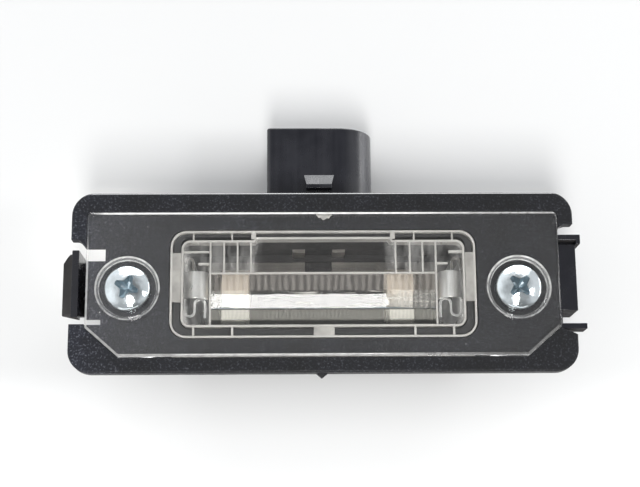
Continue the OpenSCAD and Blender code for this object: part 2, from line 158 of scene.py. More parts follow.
def plain_floor():
    m = material("floor")
    out = add(m, "ShaderNodeOutputMaterial")
    tc = add(m, "ShaderNodeTexCoord")
    noise = add(m, "ShaderNodeTexNoise", vector=tc.outputs["Object"], scale=6.0, detail=3.0)
    ramp = add(m, "ShaderNodeValToRGB", fac=noise.outputs["Fac"])
    ramp.color_ramp.elements[0].color = (0.740, 0.740, 0.740, 1)
    ramp.color_ramp.elements[1].color = (0.765, 0.765, 0.765, 1)
    # painted light: the floor is a little lighter towards the side away from the connector, lifting the shadow that the
    # lamp casts on it there
    pos = add(m, "ShaderNodeSeparateXYZ", vector=tc.outputs["Object"])
    side = add(m, "ShaderNodeMapRange", value=pos.outputs["Y"], from_min=-0.025, from_max=-0.010, to_min=1.22, to_max=1.0, interpolation_type="SMOOTHSTEP")
    lit = add(m, "ShaderNodeMix", data_type="RGBA", blend_type="MULTIPLY")
    lit.inputs["Factor"].default_value = 1.0
    link(m, ramp.outputs["Color"], lit.inputs[6])
    link(m, side.outputs[0], lit.inputs[7])
    b = add(m, "ShaderNodeBsdfPrincipled", base_color=lit.outputs[2], roughness=0.7)
    link(m, b.outputs[0], out.inputs["Surface"])
    return m


floor_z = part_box("housing")[0].z
mesh = bpy.data.meshes.new("floor")
bm = bmesh.new()
s = 3.0
bm.faces.new([bm.verts.new((x, y, floor_z)) for x, y in ((-s, -s), (s, -s), (s, s), (-s, s))])
bm.to_mesh(mesh)
bm.free()
floor = bpy.data.objects.new("floor", mesh)
scene.collection.objects.link(floor)
floor.data.materials.append(plain_floor())

# ---------------------------------------------------------------- materials


def housing_grain():
    """Black plastic with a spark-eroded grain: light grains on the tops of a fine rough surface."""
    m = material("housing_grain")
    out = add(m, "ShaderNodeOutputMaterial")
    tc = add(m, "ShaderNodeTexCoord").outputs["Object"]
    big = add(m, "ShaderNodeTexNoise", vector=tc, scale=160.0, detail=3.0)
    grain = add(m, "ShaderNodeTexNoise", vector=tc, scale=2900.0, detail=3.0, roughness=0.65)
    col = add(m, "ShaderNodeValToRGB", fac=grain.outputs["Fac"])
    ramp = col.color_ramp
    ramp.elements[0].position, ramp.elements[1].position = 0.42, 0.71
    ramp.elements[0].color = (0.0024, 0.0028, 0.0050, 1)
    ramp.elements[1].color = (0.054, 0.056, 0.066, 1)
    mid = ramp.elements.new(0.555)
    mid.color = (0.0050, 0.0056, 0.0090, 1)
    wide = add(m, "ShaderNodeMapRange", value=big.outputs["Fac"], from_min=0.3, from_max=0.7, to_min=0.45, to_max=1.35)
    mix = add(m, "ShaderNodeMix", data_type="RGBA", blend_type="MULTIPLY")
    mix.inputs["Factor"].default_value = 1.0
    link(m, col.outputs["Color"], mix.inputs[6])
    pos = add(m, "ShaderNodeSeparateXYZ", vector=tc)
    fall = add(m, "ShaderNodeMapRange", value=pos.outputs["X"], from_min=-41 * MM, from_max=41 * MM, to_min=1.1, to_max=0.78)
    left = add(m, "ShaderNodeMapRange", value=pos.outputs["X"], from_min=-41 * MM, from_max=-29 * MM, to_min=1.6, to_max=0.0)
    even = add(m, "ShaderNodeMath", operation="MULTIPLY")
    link(m, wide.outputs[0], even.inputs[0])
    link(m, math_node(m, "ADD", fall.outputs[0], left.outputs[0]), even.inputs[1])
    link(m, even.outputs[0], mix.inputs[7])
    rough = add(m, "ShaderNodeMapRange", value=grain.outputs["Fac"], from_min=0.3, from_max=0.7, to_min=0.62, to_max=0.46)
    bump = add(m, "ShaderNodeBump", strength=0.6, distance=0.00006)
    link(m, grain.outputs["Fac"], bump.inputs["Height"])
    b = add(m, "ShaderNodeBsdfPrincipled", ior=1.42)
    link(m, mix.outputs[2], b.inputs["Base Color"])
    link(m, rough.outputs[0], b.inputs["Roughness"])
    link(m, bump.outputs[0], b.inputs["Normal"])
    link(m, b.outputs[0], out.inputs["Surface"])
    return m


def simple(name, colour, rough, metal=0.0, scale=900.0, bump=0.1, vary=0.15, ior=1.5, level=0.5, deep=0.00003, wave=0.0):
    """A metal or plastic whose colour, roughness and surface vary a little."""
    m = material(name)
    out = add(m, "ShaderNodeOutputMaterial")
    tc = add(m, "ShaderNodeTexCoord").outputs["Object"]
    big = add(m, "ShaderNodeTexNoise", vector=tc, scale=scale * 0.2, detail=3.0)
    fine = add(m, "ShaderNodeTexNoise", vector=tc, scale=scale, detail=4.0)
    col = add(m, "ShaderNodeValToRGB", fac=big.outputs["Fac"])
    col.color_ramp.elements[0].position, col.color_ramp.elements[1].position = 0.3, 0.7
    col.color_ramp.elements[0].color = tuple(c * (1 - vary) for c in colour) + (1,)
    col.color_ramp.elements[1].color = tuple(min(1, c * (1 + vary)) for c in colour) + (1,)
    r = add(m, "ShaderNodeMapRange", value=fine.outputs["Fac"], from_min=0.3, from_max=0.7, to_min=rough * 0.8, to_max=rough * 1.2)
    bp = add(m, "ShaderNodeBump", strength=bump, distance=deep)
    link(m, fine.outputs["Fac"], bp.inputs["Height"])
    if wave:
        soft = add(m, "ShaderNodeTexNoise", vector=tc, scale=380.0, detail=2.0)
        wb = add(m, "ShaderNodeBump", strength=1.0, distance=wave)
        link(m, soft.outputs["Fac"], wb.inputs["Height"])
        link(m, wb.outputs[0], bp.inputs["Normal"])
    b = add(m, "ShaderNodeBsdfPrincipled", metallic=metal, ior=ior, specular_ior_level=level)
    link(m, col.outputs["Color"], b.inputs["Base Color"])
    link(m, r.outputs[0], b.inputs["Roughness"])
    link(m, bp.outputs[0], b.inputs["Normal"])
    link(m, b.outputs[0], out.inputs["Surface"])
    return m


def shroud_plastic():
    """The smooth plastic of the connector's shroud, with drawing marks along Y and a painted highlight on its rounded
    side.
    """
    m = material("housing_shroud")
    out = add(m, "ShaderNodeOutputMaterial")
    tc = add(m, "ShaderNodeTexCoord").outputs["Object"]
    pos = add(m, "ShaderNodeSeparateXYZ", vector=tc)
    long = add(m, "ShaderNodeMapping", vector=tc, scale=(1.0, 0.06, 1.0))
    marks = add(m, "ShaderNodeTexNoise", vector=long.outputs[0], scale=700.0, detail=3.0)
    blot = add(m, "ShaderNodeTexNoise", vector=tc, scale=170.0, detail=4.0)
    both = math_node(m, "ADD", math_node(m, "MULTIPLY", marks.outputs["Fac"], 0.5), math_node(m, "MULTIPLY", blot.outputs["Fac"], 0.5))
    col = add(m, "ShaderNodeValToRGB", fac=both)
    col.color_ramp.elements[0].position, col.color_ramp.elements[1].position = 0.36, 0.62
    col.color_ramp.elements[0].color = (0.0050, 0.0054, 0.0095, 1)
    col.color_ramp.elements[1].color = (0.0150, 0.0155, 0.0215, 1)
    # painted highlight: a lighter strip on the shroud's rounded side, from X 6.5 to 7.85 mm and broken up by the
    # drawing marks, standing in for the reflection of the bright floor beside it
    up = add(m, "ShaderNodeMapRange", value=pos.outputs["X"], from_min=6.5 * MM, from_max=7.4 * MM, to_min=0.0, to_max=1.0, interpolation_type="SMOOTHSTEP")
    down = add(m, "ShaderNodeMapRange", value=pos.outputs["X"], from_min=7.4 * MM, from_max=7.85 * MM, to_min=1.0, to_max=0.5, interpolation_type="SMOOTHSTEP")
    painted_sheen = math_node(m, "MULTIPLY", math_node(m, "MULTIPLY", up.outputs[0], down.outputs[0]), marks.outputs["Fac"])
    light = add(m, "ShaderNodeMix", data_type="RGBA")
    link(m, painted_sheen, light.inputs["Factor"])
    link(m, col.outputs["Color"], light.inputs[6])
    light.inputs[7].default_value = (0.22, 0.22, 0.235, 1)
    r = add(m, "ShaderNodeMapRange", value=both, from_min=0.35, from_max=0.65, to_min=0.2, to_max=0.34)
    bp = add(m, "ShaderNodeBump", strength=0.35, distance=0.00003)
    link(m, marks.outputs["Fac"], bp.inputs["Height"])
    b = add(m, "ShaderNodeBsdfPrincipled", ior=1.6)
    link(m, light.outputs[2], b.inputs["Base Color"])
    link(m, r.outputs[0], b.inputs["Roughness"])
    link(m, bp.outputs[0], b.inputs["Normal"])
    link(m, b.outputs[0], out.inputs["Surface"])
    return m


def clear(name, tint, rough, ior, shadow, dust=0.0, ripple=0.0, coat=0.0, haze=None, milk=(0.74, 0.73, 0.71), line=None):
    """Clear plastic or glass that lets lamps through, with a little dust on it. haze makes the share of milky surface,
    as a socket.
    line is the middle and the half width, in mm along Y, of a dark band of painted shade across it, how much the width
    varies, and its colour."""
    m = material(name)
    out = add(m, "ShaderNodeOutputMaterial")
    tc = add(m, "ShaderNodeTexCoord").outputs["Object"]
    b = add(m, "ShaderNodeBsdfPrincipled", base_color=tint + (1,), roughness=rough, ior=ior, transmission_weight=1.0)
    if coat:
        b.inputs["Coat Weight"].default_value = coat
        b.inputs["Coat IOR"].default_value = 1.9
        b.inputs["Coat Roughness"].default_value = 0.03
    if ripple:
        wave = add(m, "ShaderNodeTexNoise", vector=tc, scale=260.0, detail=1.0)
        bump = add(m, "ShaderNodeBump", strength=ripple, distance=0.0002)
        link(m, wave.outputs["Fac"], bump.inputs["Height"])
        link(m, bump.outputs[0], b.inputs["Normal"])
    path = add(m, "ShaderNodeLightPath")
    t = add(m, "ShaderNodeBsdfTransparent", color=shadow + (1,))
    mix = add(m, "ShaderNodeMixShader")
    link(m, path.outputs["Is Shadow Ray"], mix.inputs[0])
    link(m, b.outputs[0], mix.inputs[1])
    link(m, t.outputs[0], mix.inputs[2])
    last = mix
    if dust:
        cells = add(m, "ShaderNodeTexVoronoi", vector=tc, scale=520.0, randomness=1.0)
        near = add(m, "ShaderNodeMapRange", value=cells.outputs["Distance"], from_min=0.03, from_max=0.08, to_min=1.0, to_max=0.0)
        pick = add(m, "ShaderNodeSeparateColor")
        link(m, cells.outputs["Color"], pick.inputs[0])
        few = add(m, "ShaderNodeMapRange", value=pick.outputs[0], from_min=1.0 - dust, from_max=1.0, to_min=0.0, to_max=0.8)
        both = add(m, "ShaderNodeMath", operation="MULTIPLY")
        link(m, near.outputs[0], both.inputs[0])
        link(m, few.outputs[0], both.inputs[1])
        d = add(m, "ShaderNodeBsdfDiffuse", color=(0.55, 0.55, 0.55, 1))
        last = add(m, "ShaderNodeMixShader")
        link(m, both.outputs[0], last.inputs[0])
        link(m, mix.outputs[0], last.inputs[1])
        link(m, d.outputs[0], last.inputs[2])
    if haze:
        d = add(m, "ShaderNodeBsdfDiffuse", color=milk + (1,))
        before, last = last, add(m, "ShaderNodeMixShader")
        link(m, haze(m, tc), last.inputs[0])
        link(m, before.outputs[0], last.inputs[1])
        link(m, d.outputs[0], last.inputs[2])
    # painted shade: a dark band across the surface, its width varying along X
    if line:
        pos = add(m, "ShaderNodeSeparateXYZ", vector=tc)
        off = math_node(m, "ABSOLUTE", math_node(m, "SUBTRACT", pos.outputs["Y"], line[0] * MM))
        along = add(m, "ShaderNodeMapping", vector=tc, scale=(1.0, 0.0, 0.0))
        vary = add(m, "ShaderNodeTexNoise", vector=along.outputs[0], scale=150.0, detail=2.0)
        half = math_node(m, "ADD", math_node(m, "MULTIPLY", math_node(m, "SUBTRACT", vary.outputs["Fac"], 0.5), line[2] * MM), line[1] * MM)
        on = add(m, "ShaderNodeMapRange", value=math_node(m, "SUBTRACT", off, half), from_min=-0.03 * MM, from_max=0.03 * MM, to_min=0.85, to_max=0.0)
        d = add(m, "ShaderNodeBsdfDiffuse", color=line[3] + (1,))
        before, last = last, add(m, "ShaderNodeMixShader")
        link(m, on.outputs[0], last.inputs[0])
        link(m, before.outputs[0], last.inputs[1])
        link(m, d.outputs[0], last.inputs[2])
    link(m, last.outputs[0], out.inputs["Surface"])
    return m


def thin_glass():
    """Glass so thin that it bends nothing: it shows as a faint gloss, a little more so where it is seen at a slant."""
    m = material("bulb_glass")
    out = add(m, "ShaderNodeOutputMaterial")
    tc = add(m, "ShaderNodeTexCoord").outputs["Object"]
    blot = add(m, "ShaderNodeTexNoise", vector=tc, scale=420.0, detail=3.0)
    r = add(m, "ShaderNodeMapRange", value=blot.outputs["Fac"], from_min=0.3, from_max=0.7, to_min=0.03, to_max=0.09)
    slant = add(m, "ShaderNodeLayerWeight", blend=0.3)
    share = add(m, "ShaderNodeMapRange", value=slant.outputs["Facing"], from_min=0.0, from_max=1.0, to_min=0.02, to_max=0.10)
    b = add(m, "ShaderNodeBsdfPrincipled", base_color=(0.12, 0.12, 0.12, 1), ior=1.5)
    link(m, r.outputs[0], b.inputs["Roughness"])
    t = add(m, "ShaderNodeBsdfTransparent", color=(0.985, 0.985, 0.985, 1))
    mix = add(m, "ShaderNodeMixShader")
    link(m, share.outputs[0], mix.inputs[0])
    link(m, t.outputs[0], mix.inputs[1])
    link(m, b.outputs[0], mix.inputs[2])
    link(m, mix.outputs[0], out.inputs["Surface"])
    return m


def math_node(m, op, a, b=None):
    n = add(m, "ShaderNodeMath", operation=op)
    for k, v in enumerate((a, b)):
        if v is None:
            continue
        if hasattr(v, "is_output"):
            link(m, v, n.inputs[k])
        else:
            n.inputs[k].default_value = v
    return n.outputs[0]


def stripes(m, tc, period, low, high, wobble):
    """Stripes across X, with a wobble, as a value from low to high. period is in mm."""
    pos = add(m, "ShaderNodeSeparateXYZ", vector=tc)
    noise = add(m, "ShaderNodeTexNoise", vector=tc, scale=420.0, detail=2.0)
    x = math_node(m, "MULTIPLY", pos.outputs["X"], 2 * math.pi / (period * MM))
    x = math_node(m, "ADD", x, math_node(m, "MULTIPLY", noise.outputs["Fac"], wobble))
    s = math_node(m, "SINE", x)
    fine = add(m, "ShaderNodeTexNoise", vector=tc, scale=2600.0, detail=2.0)
    s = math_node(m, "ADD", s, math_node(m, "MULTIPLY", math_node(m, "SUBTRACT", fine.outputs["Fac"], 0.5), 2.4))
    r = add(m, "ShaderNodeMapRange", value=s, from_min=-1.1, from_max=1.1, to_min=low, to_max=high)
    return r.outputs[0], pos.outputs["Y"]


def brushed(name, colour, rough):
    """Drawn metal with fine streaks that run around X."""
    m = material(name)
    out = add(m, "ShaderNodeOutputMaterial")
    tc = add(m, "ShaderNodeTexCoord").outputs["Object"]
    flat = add(m, "ShaderNodeMapping", vector=tc, scale=(1.0, 0.12, 0.12))
    streak = add(m, "ShaderNodeTexNoise", vector=flat.outputs[0], scale=1900.0, detail=3.0)
    blot = add(m, "ShaderNodeTexNoise", vector=tc, scale=330.0, detail=3.0)
    both = math_node(m, "ADD", math_node(m, "MULTIPLY", streak.outputs["Fac"], 0.65), math_node(m, "MULTIPLY", blot.outputs["Fac"], 0.35))
    col = add(m, "ShaderNodeValToRGB", fac=both)
    col.color_ramp.elements[0].position, col.color_ramp.elements[1].position = 0.36, 0.62
    col.color_ramp.elements[0].color = tuple(c * 0.78 for c in colour) + (1,)
    col.color_ramp.elements[1].color = tuple(min(1, c * 1.12) for c in colour) + (1,)
    # painted light: the cap's side towards -Y is mixed to a lighter colour, lifting the shade that falls on it there
    pos = add(m, "ShaderNodeSeparateXYZ", vector=tc)
    low = add(m, "ShaderNodeMapRange", value=pos.outputs["Y"], from_min=-3.3 * MM, from_max=-1.6 * MM, to_min=1.0, to_max=0.0)
    light = add(m, "ShaderNodeMix", data_type="RGBA")
    link(m, low.outputs[0], light.inputs["Factor"])
    link(m, col.outputs["Color"], light.inputs[6])
    light.inputs[7].default_value = (0.98, 0.94, 0.87, 1)
    r = add(m, "ShaderNodeMapRange", value=both, from_min=0.35, from_max=0.65, to_min=rough * 0.8, to_max=rough * 1.3)
    bp = add(m, "ShaderNodeBump", strength=0.25, distance=0.00002)
    link(m, streak.outputs["Fac"], bp.inputs["Height"])
    b = add(m, "ShaderNodeBsdfPrincipled", metallic=0.1, ior=1.5, specular_ior_level=0.35)
    link(m, light.outputs[2], b.inputs["Base Color"])
    link(m, r.outputs[0], b.inputs["Roughness"])
    link(m, bp.outputs[0], b.inputs["Normal"])
    link(m, b.outputs[0], out.inputs["Surface"])
    return m


def haze_upper(m, tc):
    return stripes(m, tc, 1.15, 0.06, 0.19, 6.0)[0]


def haze_middle(m, tc):
    v, y = stripes(m, tc, 0.9, 0.6, 1.3, 5.0)
    pos = add(m, "ShaderNodeSeparateXYZ", vector=tc)
    right = add(m, "ShaderNodeMapRange", value=pos.outputs["X"], from_min=11.2 * MM, from_max=12.2 * MM, to_min=0.03, to_max=0.24)
    left = add(m, "ShaderNodeMapRange", value=pos.outputs["X"], from_min=-17.0 * MM, from_max=-15.5 * MM, to_min=0.18, to_max=0.0)
    base = math_node(m, "MULTIPLY", v, math_node(m, "ADD", right.outputs[0], left.outputs[0]))
    # fine streaks along X, from a little left of the middle on
    along = add(m, "ShaderNodeMapping", vector=tc, scale=(0.05, 1.0, 0.0))
    thread = add(m, "ShaderNodeTexNoise", vector=along.outputs[0], scale=3200.0, detail=2.0)
    streak = add(m, "ShaderNodeMapRange", value=thread.outputs["Fac"], from_min=0.56, from_max=0.68, to_min=0.0, to_max=0.8)
    part = add(m, "ShaderNodeMapRange", value=pos.outputs["X"], from_min=-9.5 * MM, from_max=-3.0 * MM, to_min=0.25, to_max=1.0)
    rest = add(m, "ShaderNodeMapRange", value=pos.outputs["X"], from_min=10.9 * MM, from_max=11.6 * MM, to_min=1.0, to_max=0.2)
    share = math_node(m, "MULTIPLY", part.outputs[0], rest.outputs[0])
    return math_node(m, "ADD", base, math_node(m, "MULTIPLY", streak.outputs[0], share))


def lower_haze_and_painted_light(m, tc):
    v, y = stripes(m, tc, 0.62, 0.135, 0.215, 9.0)
    fall = add(m, "ShaderNodeMapRange", value=y, from_min=-6.5 * MM, from_max=-6.1 * MM, to_min=0.08, to_max=1.0)
    pos = add(m, "ShaderNodeSeparateXYZ", vector=tc)
    # painted light: the flute is milkier over the two caps, so that the caps seen through it look lighter
    for mid, half in ((-14.5, 2.25), (12.8, 2.0)):
        off = math_node(m, "ABSOLUTE", math_node(m, "SUBTRACT", pos.outputs["X"], mid * MM))
        on = add(m, "ShaderNodeMapRange", value=off, from_min=(half - 0.1) * MM, from_max=(half + 0.1) * MM, to_min=0.34, to_max=0.0)
        v = math_node(m, "ADD", v, on.outputs[0])
    return math_node(m, "MULTIPLY", v, fall.outputs[0])


def haze_sides(m, tc):
    """Blotches of milky plastic near the window's ends and beside the ribs there, none in its middle."""
    pos = add(m, "ShaderNodeSeparateXYZ", vector=tc)
    ax = math_node(m, "ABSOLUTE", pos.outputs["X"])
    band = add(m, "ShaderNodeMapRange", value=ax, from_min=9.9 * MM, from_max=11.9 * MM, to_min=0.0, to_max=0.20)
    end = add(m, "ShaderNodeMapRange", value=ax, from_min=11.95 * MM, from_max=12.3 * MM, to_min=0.0, to_max=-0.10)
    far = add(m, "ShaderNodeMapRange", value=ax, from_min=18.3 * MM, from_max=18.9 * MM, to_min=0.0, to_max=-0.04)
    rim = add(m, "ShaderNodeMapRange", value=ax, from_min=21.8 * MM, from_max=22.5 * MM, to_min=0.0, to_max=0.15)
    side = math_node(m, "ADD", math_node(m, "ADD", band.outputs[0], end.outputs[0]), far.outputs[0])
    side = math_node(m, "ADD", side, rim.outputs[0])
    long = add(m, "ShaderNodeMapping", vector=tc, scale=(1.0, 0.3, 1.0))
    n = add(m, "ShaderNodeTexNoise", vector=long.outputs[0], scale=620.0, detail=4.0, roughness=0.65)
    blot = add(m, "ShaderNodeMapRange", value=n.outputs["Fac"], from_min=0.36, from_max=0.64, to_min=0.05, to_max=1.9)
    return math_node(m, "ADD", math_node(m, "MULTIPLY", side, blot.outputs[0]), 0.005)


def ring_haze_and_painted_light(m, tc):
    pos = add(m, "ShaderNodeSeparateXYZ", vector=tc)
    # painted light: the ring's milky share grows towards +Y, so each ring is lighter on its upper side, where the key
    # lamp's light falls
    up = add(m, "ShaderNodeMapRange", value=pos.outputs["Y"], from_min=-5.5 * MM, from_max=3.5 * MM, to_min=0.07, to_max=0.24)
    n = add(m, "ShaderNodeTexNoise", vector=tc, scale=900.0, detail=2.0)
    r = add(m, "ShaderNodeMapRange", value=n.outputs["Fac"], from_min=0.35, from_max=0.65, to_min=0.8, to_max=1.25)
    return math_node(m, "MULTIPLY", up.outputs[0], r.outputs[0])


def rim_haze_and_painted_light(m, tc):
    """The rounded rims of the counterbores."""
    pos = add(m, "ShaderNodeSeparateXYZ", vector=tc)
    # painted light: the rims' milky share grows towards +Y, so each rim is lighter on its upper side, where the key
    # lamp's light falls
    up = add(m, "ShaderNodeMapRange", value=pos.outputs["Y"], from_min=-5.5 * MM, from_max=3.5 * MM, to_min=0.28, to_max=0.62)
    n = add(m, "ShaderNodeTexNoise", vector=tc, scale=700.0, detail=2.0)
    r = add(m, "ShaderNodeMapRange", value=n.outputs["Fac"], from_min=0.35, from_max=0.65, to_min=0.6, to_max=1.2)
    return math_node(m, "MULTIPLY", up.outputs[0], r.outputs[0])


def edge_painted_highlight(m, tc):
    """Painted highlight: the plate's rounded edge is made milky so that it shows as a light line, most of all on the
    connector's side, and clear at the upper left.
    """
    pos = add(m, "ShaderNodeSeparateXYZ", vector=tc)
    up = add(m, "ShaderNodeMapRange", value=pos.outputs["Y"], from_min=9.0 * MM, from_max=11.0 * MM, to_min=0.0, to_max=0.62)
    low = add(m, "ShaderNodeMapRange", value=pos.outputs["Y"], from_min=4.0 * MM, from_max=8.0 * MM, to_min=0.34, to_max=0.0)
    left = add(m, "ShaderNodeMapRange", value=pos.outputs["X"], from_min=-38.2 * MM, from_max=-35.5 * MM, to_min=0.0, to_max=1.0)
    up = math_node(m, "MULTIPLY", up.outputs[0], left.outputs[0])
    right = add(m, "ShaderNodeMapRange", value=pos.outputs["X"], from_min=14 * MM, from_max=27 * MM, to_min=1.0, to_max=0.38)
    edge = add(m, "ShaderNodeMapRange", value=pos.outputs["X"], from_min=38.2 * MM, from_max=38.5 * MM, to_min=1.0, to_max=0.1)
    base = math_node(m, "ADD", low.outputs[0], math_node(m, "MULTIPLY", up, 1.3))
    base = math_node(m, "MULTIPLY", base, math_node(m, "MULTIPLY", right.outputs[0], edge.outputs[0]))
    n = add(m, "ShaderNodeTexNoise", vector=tc, scale=700.0, detail=3.0)
    r = add(m, "ShaderNodeMapRange", value=n.outputs["Fac"], from_min=0.35, from_max=0.65, to_min=0.8, to_max=1.15)
    return math_node(m, "MULTIPLY", base, r.outputs[0])


M_GRAIN = housing_grain()
M_SMOOTH = simple("housing_smooth", (0.0085, 0.0088, 0.0130), 0.25, 0.0, 500.0, 0.1, 0.3, ior=1.62)
M_DULL = simple("housing_dull", (0.043, 0.041, 0.0415), 0.7, 0.0, 800.0, 0.2, 0.3, level=0.08)
M_SHROUD = shroud_plastic()
M_RIDGE = simple("housing_edge", (0.012, 0.012, 0.015), 0.16, 0.0, 900.0, 0.5, 0.3, ior=3.0)
M_LENS = clear("lens_clear", (0.998, 0.995, 0.992), 0.015, 1.58, (0.93, 0.93, 0.92), dust=0.14)
# painted shade on the flutes: a dark bluish wavy band along the middle flute's lower edge, and a dark band at the
# crease just below it
M_FLUTE_2 = clear("lens_flute_middle", (0.985, 0.98, 0.975), 0.02, 1.85, (0.93, 0.93, 0.92), ripple=0.12, haze=haze_middle, milk=(0.74, 0.72, 0.67), line=(-4.45, 0.17, 0.9, (0.24, 0.28, 0.30)))
M_FLUTE_1 = clear("lens_flute_upper", (0.985, 0.965, 0.945), 0.03, 1.58, (0.93, 0.93, 0.92), haze=haze_upper, milk=(0.76, 0.71, 0.655))
M_FLUTE_3 = clear("lens_flute_lower", (0.985, 0.98, 0.975), 0.03, 1.58, (0.93, 0.93, 0.92), haze=lower_haze_and_painted_light, milk=(0.81, 0.79, 0.71), line=(-4.55, 0.10, 0.05, (0.03, 0.03, 0.03)))
M_SIDES = clear("lens_hazy", (0.985, 0.98, 0.975), 0.02, 1.58, (0.93, 0.93, 0.92), haze=haze_sides)
M_RING = clear("lens_satin", (0.985, 0.98, 0.975), 0.16, 1.58, (0.93, 0.93, 0.92), haze=ring_haze_and_painted_light)
M_EDGE = clear("lens_edge", (0.985, 0.98, 0.975), 0.05, 1.58, (0.93, 0.93, 0.92), haze=edge_painted_highlight, milk=(0.91, 0.90, 0.88))
M_RIM = clear("lens_rim", (0.985, 0.98, 0.975), 0.05, 1.58, (0.93, 0.93, 0.92), haze=rim_haze_and_painted_light, milk=(0.84, 0.84, 0.82))
M_RIB = simple("lens_rib", (0.44, 0.43, 0.41), 0.45, 0.0, 1200.0, 0.05, 0.12)
M_BLOCK = simple("lens_block", (0.35, 0.34, 0.32), 0.4, 0.0, 1600.0, 0.2, 0.3)
M_SEAL = simple("seal_rubber", (0.016, 0.016, 0.017), 0.6)
M_ZINC = simple("screw_zinc", (0.70, 0.755, 0.78), 0.14, 1.0, 1500.0, 0.4, 0.2, deep=0.00005, wave=0.00022)
# painted shade: the screws' cross recesses are a darker, rougher zinc than the heads
M_RECESS = simple("screw_recess", (0.42, 0.49, 0.53), 0.42, 1.0, 1500.0, 0.4, 0.3)
M_CONTACT = simple("contact_metal", (0.87, 0.875, 0.86), 0.34, 1.0, 900.0, 0.2, 0.1)
# painted shade: a darker, duller copy of the contact metal for the strips' inner parts and their parts towards the
# connector
M_CONTACT_SHADE = simple("contact_dull", (0.235, 0.222, 0.205), 0.5, 1.0, 900.0, 0.2, 0.2)
M_GLASS = thin_glass()
M_CAP = brushed("cap_metal", (0.50, 0.435, 0.36), 0.4)
M_CAP_END = simple("cap_metal_end", (0.50, 0.44, 0.37), 0.2, 1.0, 900.0, 0.2, 0.12)
M_FILAMENT = simple("filament_wire", (0.28, 0.28, 0.3), 0.4, 1.0)
M_LEAD = simple("lead_wire", (0.6, 0.55, 0.5), 0.35, 1.0)
M_SOLDER = simple("solder", (0.6, 0.6, 0.6), 0.32, 1.0)
M_CEMENT = simple("cement", (0.7, 0.66, 0.55), 0.8, 0.0, 2500.0, 0.4)

# ---------------------------------------------------------------- meshes


def drop_normals(me):
    for n in ("custom_normal", "sharp_edge", "sharp_face"):
        if n in me.attributes:
            me.attributes.remove(me.attributes[n])


def clone(node, name):
    """A copy of a CAD node's mesh as a new object, welded, with each flat face as one face."""
    me = NODES[node].data.copy()
    me.name = name
    me.materials.clear()
    drop_normals(me)
    bm = bmesh.new()
    bm.from_mesh(me)
    bmesh.ops.remove_doubles(bm, verts=bm.verts, dist=2e-6)
    bmesh.ops.dissolve_limit(bm, angle_limit=math.radians(0.6), verts=bm.verts, edges=bm.edges)
    bm.to_mesh(me)
    bm.free()
    o = bpy.data.objects.new(name, me)
    scene.collection.objects.link(o)
    return o


def bake(o):
    """Applies the modifiers of o."""
    bpy.context.view_layer.update()
    dg = bpy.context.evaluated_depsgraph_get()
    me = bpy.data.meshes.new_from_object(o.evaluated_get(dg))
    o.modifiers.clear()
    o.data = me
    me.name = o.name
    return o


def rounded(o, rule, segments=3, sharp=24.0):
    """Rounds the edges of o. rule gets an edge's middle in mm, its two normals and whether it is convex, and gives a radius in mm."""
    bm = bmesh.new()
    bm.from_mesh(o.data)
    bm.normal_update()
    widths = {}
    for e in bm.edges:
        if len(e.link_faces) != 2 or e.calc_face_angle() < math.radians(sharp):
            continue
        mid = (e.verts[0].co + e.verts[1].co) / 2 / MM
        f, g = e.link_faces
        w = rule(mid, f.normal, g.normal, e.is_convex)
        if w > 0:
            widths[e.index] = w
    top = max(widths.values())
    layer = bm.edges.layers.float.new("bevel_weight_edge")
    for e in bm.edges:
        e[layer] = widths.get(e.index, 0.0) / top
    bm.to_mesh(o.data)
    bm.free()
    mod = o.modifiers.new("bevel", "BEVEL")
    mod.width = top * MM
    mod.segments = segments
    mod.limit_method = "WEIGHT"
    mod.use_clamp_overlap = False
    mod.miter_outer = "MITER_ARC"
    bake(o)
    if "bevel_weight_edge" in o.data.attributes:
        o.data.attributes.remove(o.data.attributes["bevel_weight_edge"])
    return o


def smooth(o, angle=40.0, weighted=True, crease=None):
    """Smooth shading up to an angle. crease gets an edge's middle in mm and says whether it stays sharp all the same."""
    drop_normals(o.data)
    o.data.shade_smooth()
    o.data.set_sharp_from_angle(angle=math.radians(angle))
    if crease:
        for e in o.data.edges:
            a, b = (o.data.vertices[k].co for k in e.vertices)
            if crease((a + b) / 2 / MM):
                e.use_edge_sharp = True
    if weighted:
        mod = o.modifiers.new("normals", "WEIGHTED_NORMAL")
        mod.keep_sharp = True
        mod.weight = 100
        bake(o)
    return o


def paint(o, mats, pick=None):
    """Gives o its materials. pick gets a face's centre in mm and its normal, and gives the material's number."""
    o.data.materials.clear()
    for m in mats:
        o.data.materials.append(m)
    for f in o.data.polygons:
        f.material_index = pick(f.center / MM, f.normal) if pick else 0
    return o


def piece(o, name_slot, *nodes):
    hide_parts(*nodes)
    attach(o, "root")
    return o


def mesh_object(name, verts, faces):
    """A new object from points in mm."""
    me = bpy.data.meshes.new(name)
    me.from_pydata([[c * MM for c in v] for v in verts], [], faces)
    me.validate()
    o = bpy.data.objects.new(name, me)
    scene.collection.objects.link(o)
    return o


